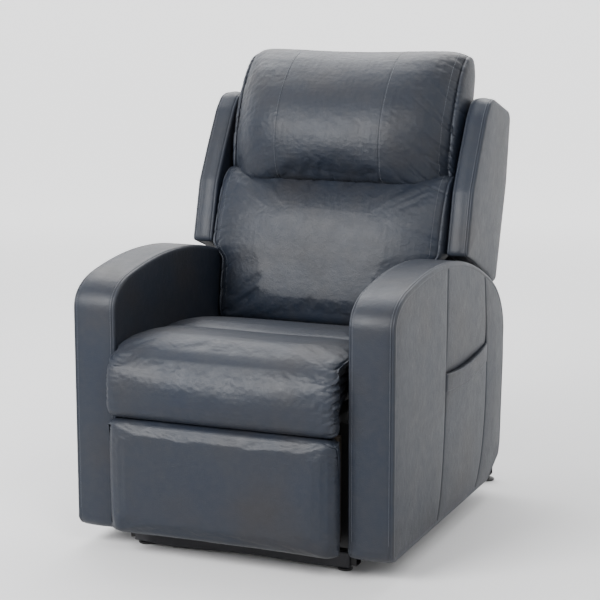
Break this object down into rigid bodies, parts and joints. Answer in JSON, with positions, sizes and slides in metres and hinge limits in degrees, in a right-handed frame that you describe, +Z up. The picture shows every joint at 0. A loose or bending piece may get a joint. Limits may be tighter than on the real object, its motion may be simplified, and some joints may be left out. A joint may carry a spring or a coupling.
{
  "type": "lift recliner chair",
  "caption": "Upholstered recliner chair with padded arms, a side pocket and a headrest pillow on a motor-driven lift base, with a swing-out footrest and a reclining back.",
  "frame": {"origin": "on the floor under the middle of the chair's bounding box", "axes": "+Z up, -Y the way the chair faces, +X the sitter's left"},
  "size_m": [0.76, 0.966, 1.0912],
  "materials": {
    "leather": "satin",
    "black_steel": "satin",
    "zinc_pin": "satin",
    "bright_rod": "polished",
    "timber": "matte",
    "spring_wire": "satin",
    "webbing": "matte",
    "dust_cloth": "matte",
    "foot_plastic": "satin",
    "motor_plastic": "matte",
    "handset_plastic": "matte",
    "button_plastic": "matte"
  },
  "bodies": {
    "base": {"base_rail_left": "black_steel", "base_rail_right": "black_steel", "base_front_tube": "black_steel", "base_rear_tube": "black_steel", "base_motor_tube": "black_steel", "glide_feet": "foot_plastic", "base_pivot_brackets": "black_steel", "base_stay_pins": "zinc_pin", "lift_motor_mount": "black_steel", "power_box": "motor_plastic", "power_inlet": "motor_plastic", "dust_cloth": "dust_cloth"},
    "lift_arm": {"lift_link_left": "black_steel", "lift_link_right": "black_steel", "lift_torque_tube": "black_steel", "lift_crank": "black_steel"},
    "lift_stay": {"lift_stays": "black_steel"},
    "lift_motor": {"lift_motor_gearbox": "motor_plastic", "lift_motor_motor": "motor_plastic", "lift_motor_tube": "motor_plastic"},
    "lift_rod": {"lift_motor_rod": "bright_rod"},
    "carriage": {"side_plate_left": "black_steel", "side_plate_right": "black_steel", "carriage_pins": "zinc_pin", "seat_side_rails": "timber", "seat_cross_rails": "timber", "back_motor_mount": "black_steel", "seat_springs": "spring_wire", "seat_cushion": "leather", "arm_pad_left": "leather", "arm_pad_right": "leather", "arm_frames": "timber", "arm_brackets": "black_steel", "side_pocket": "leather"},
    "handset": {"handset_case": "handset_plastic"},
    "button_lift_up": {"button_lift_up": "button_plastic"},
    "button_lift_down": {"button_lift_down": "button_plastic"},
    "button_recline_up": {"button_recline_up": "button_plastic"},
    "button_recline_down": {"button_recline_down": "button_plastic"},
    "footrest_drive": {"footrest_drive_links": "black_steel", "footrest_torque_tube": "black_steel", "footrest_knee_pins": "zinc_pin"},
    "footrest_push": {"footrest_push_links": "black_steel"},
    "footrest": {"footrest_lugs": "black_steel", "footrest_board": "timber", "footrest_pad": "leather"},
    "back": {"back_brackets": "black_steel", "back_uprights": "timber", "back_torque_tube": "black_steel", "back_cross_rails": "timber", "back_webbing": "webbing", "lower_back_cushion": "leather", "headrest_pillow": "leather", "wing_left": "leather", "wing_right": "leather", "outer_back_panel": "leather"},
    "back_motor": {"back_motor_gearbox": "motor_plastic", "back_motor_motor": "motor_plastic", "back_motor_tube": "motor_plastic"},
    "back_rod": {"back_motor_rod": "bright_rod"}
  },
  "joints": [
    {"name": "lift", "type": "hinge", "parent": "base", "child": "lift_arm", "pos_m": [0, -0.23, 0.1], "axis": [1, 0, 0], "range_deg": [0, 60]},
    {"name": "carriage_tilt", "type": "hinge", "parent": "lift_arm", "child": "carriage", "pos_m": [0, 0.09, 0.12], "axis": [1, 0, 0], "range_deg": [-33.01, 0]},
    {"name": "lift_stay_pivot", "type": "hinge", "parent": "base", "child": "lift_stay", "pos_m": [0, -0.2895, 0.1079], "axis": [1, 0, 0], "range_deg": [0, 65.89]},
    {"name": "lift_motor_pivot", "type": "hinge", "parent": "base", "child": "lift_motor", "pos_m": [0, 0.2009, 0.04], "axis": [1, 0, 0], "range_deg": [0, 3.02]},
    {"name": "lift_rod_slide", "type": "slide", "parent": "lift_motor", "child": "lift_rod", "axis": [0, -0.9283, 0.3719], "range_m": [0, 0.1046]},
    {"name": "recline", "type": "hinge", "parent": "carriage", "child": "back", "pos_m": [0, 0.15, 0.35], "axis": [-1, 0, 0], "range_deg": [0, 40]},
    {"name": "back_motor_pivot", "type": "hinge", "parent": "carriage", "child": "back_motor", "pos_m": [0, -0.12, 0.3037], "axis": [-1, 0, 0], "range_deg": [0, 5.61]},
    {"name": "back_rod_slide", "type": "slide", "parent": "back_motor", "child": "back_rod", "axis": [0, -0.997, 0.078], "range_m": [0, 0.0551]},
    {"name": "footrest", "type": "hinge", "parent": "carriage", "child": "footrest_drive", "pos_m": [0, -0.31, 0.305], "axis": [-1, 0, 0], "range_deg": [0, 97.74]},
    {"name": "footrest_knee", "type": "hinge", "parent": "footrest_drive", "child": "footrest_push", "pos_m": [0, -0.24476, 0.12655], "axis": [1, 0, 0], "range_deg": [0, 121.41]},
    {"name": "footrest_board_pivot", "type": "hinge", "parent": "footrest_push", "child": "footrest", "pos_m": [0, -0.378, 0.262], "axis": [-1, 0, 0], "range_deg": [0, 113.67]},
    {"name": "handset_slide", "type": "slide", "parent": "carriage", "child": "handset", "axis": [0, 0, 1], "range_m": [0, 0.1]},
    {"name": "button_lift_up_press", "type": "slide", "parent": "handset", "child": "button_lift_up", "axis": [-1, 0, 0], "range_m": [0, 0.0012], "stiffness_N_per_m": 900},
    {"name": "button_lift_down_press", "type": "slide", "parent": "handset", "child": "button_lift_down", "axis": [-1, 0, 0], "range_m": [0, 0.0012], "stiffness_N_per_m": 900},
    {"name": "button_recline_up_press", "type": "slide", "parent": "handset", "child": "button_recline_up", "axis": [-1, 0, 0], "range_m": [0, 0.0012], "stiffness_N_per_m": 900},
    {"name": "button_recline_down_press", "type": "slide", "parent": "handset", "child": "button_recline_down", "axis": [-1, 0, 0], "range_m": [0, 0.0012], "stiffness_N_per_m": 900}
  ],
  "couplings": [
    {"joint": "carriage_tilt", "follows": "lift", "ratio": -0.55},
    {"joint": "lift_stay_pivot", "follows": "lift", "ratio": 1.098},
    {"joint": "lift_motor_pivot", "follows": "lift", "ratio": 0.050167},
    {"joint": "lift_rod_slide", "follows": "lift", "m_per_rad": 0.09979},
    {"joint": "back_motor_pivot", "follows": "recline", "ratio": 0.14008},
    {"joint": "back_rod_slide", "follows": "recline", "m_per_rad": 0.07881},
    {"joint": "footrest_knee", "follows": "footrest", "ratio": 1.242},
    {"joint": "footrest_board_pivot", "follows": "footrest", "ratio": 1.1628}
  ]
}
